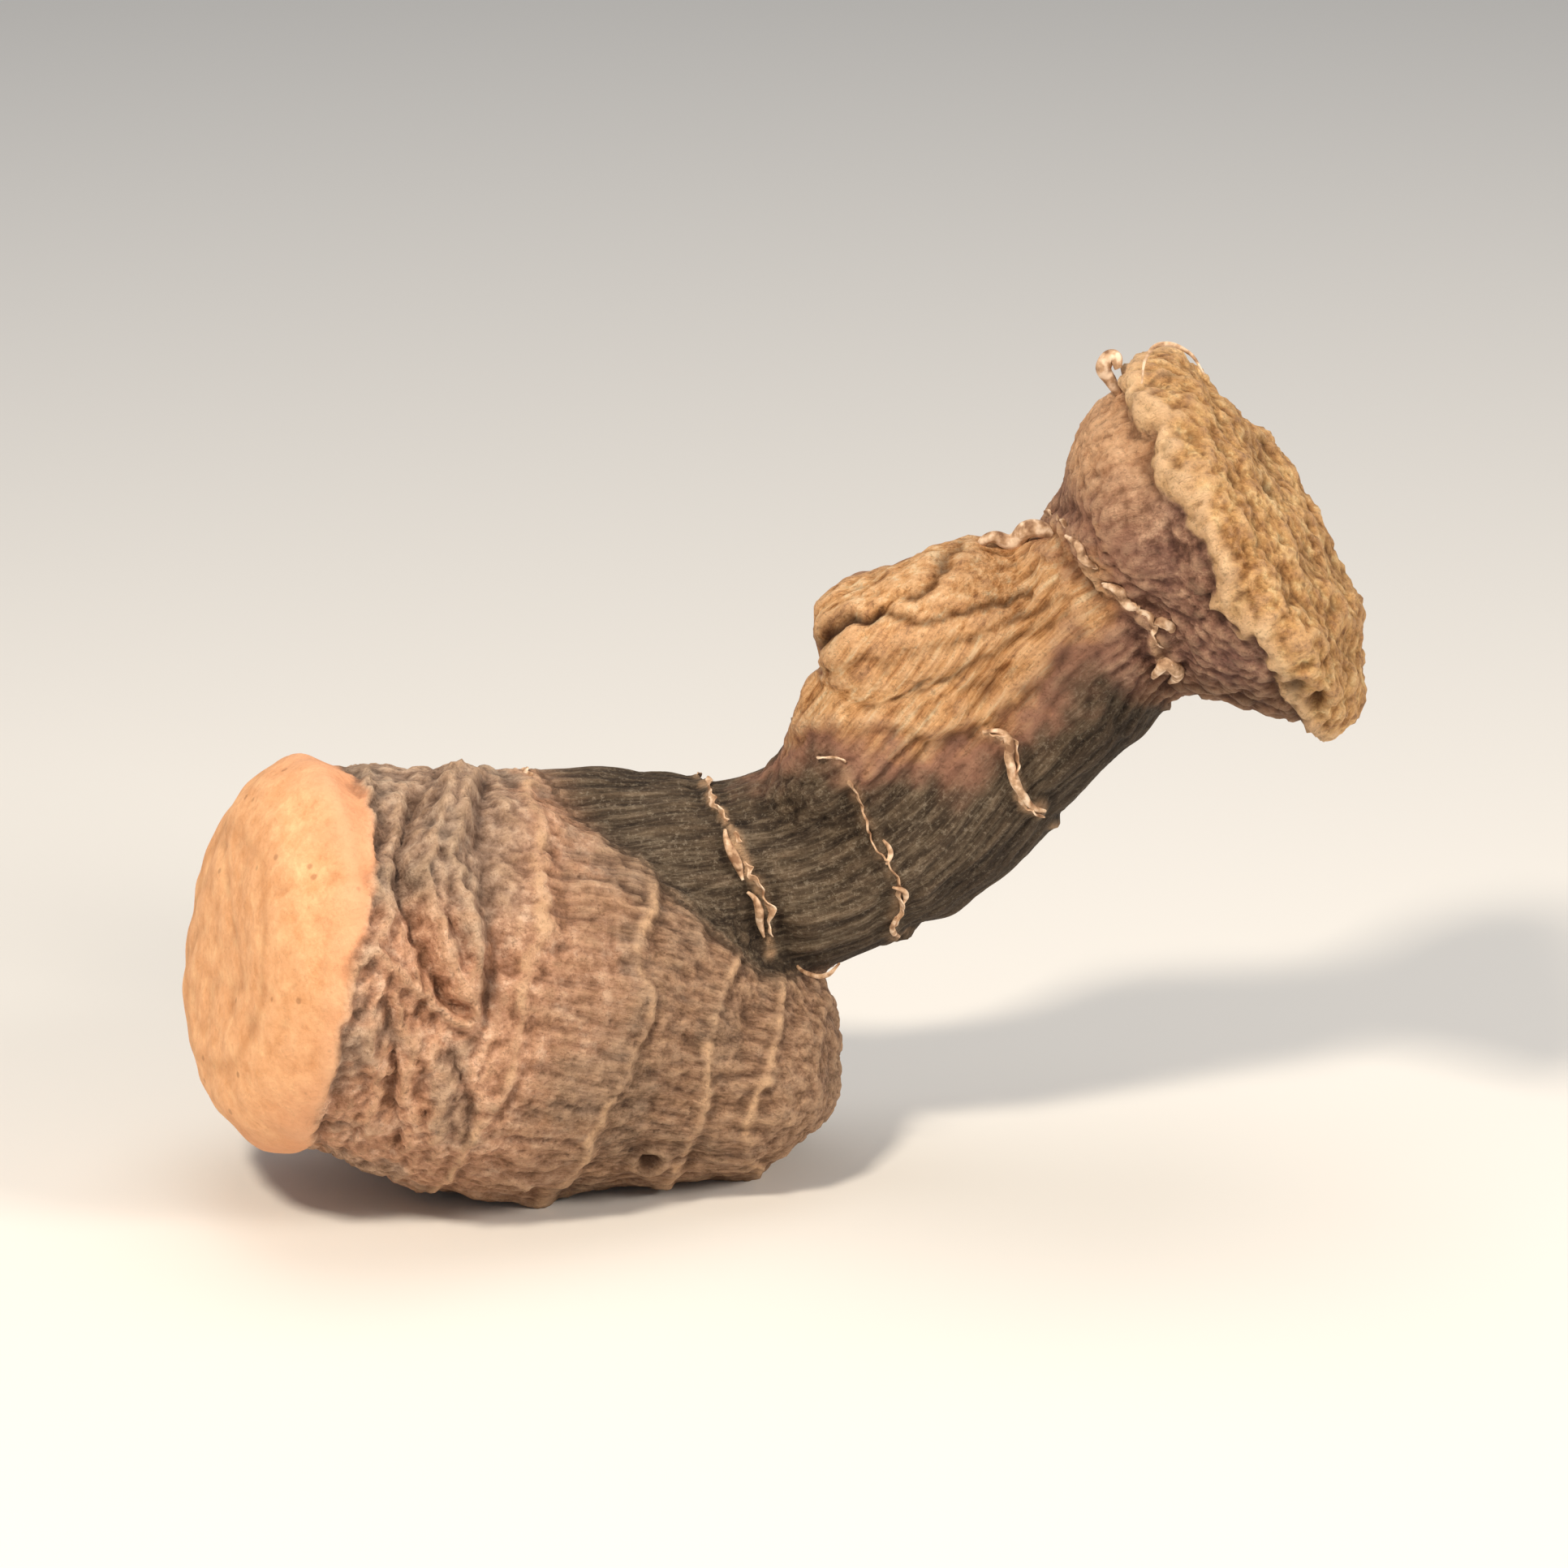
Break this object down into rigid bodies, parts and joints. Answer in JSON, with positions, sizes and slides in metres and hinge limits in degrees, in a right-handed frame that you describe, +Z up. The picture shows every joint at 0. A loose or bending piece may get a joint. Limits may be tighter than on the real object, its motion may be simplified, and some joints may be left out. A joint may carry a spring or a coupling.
{
  "type": "galangal root",
  "caption": "Dried galangal rhizome: a thick joint with a sawn end lying on its belly, and a thinner joint that bends up past a cut side shoot to a flared, cut end.",
  "frame": {"origin": "middle of the bounding box's underside, on the surface that the root rests on", "axes": "+Z up; +X along the root's length, from the sawn end of the thick joint to the flared end; -Y the side that shows the stump's cut and the leaf scars best"},
  "size_m": [0.0778, 0.033, 0.0549],
  "materials": {
    "bark": "matte, wrinkled dried bark",
    "leaf_scar": "papery, torn"
  },
  "bodies": {
    "root": {"rhizome": "bark"}
  },
  "joints": []
}
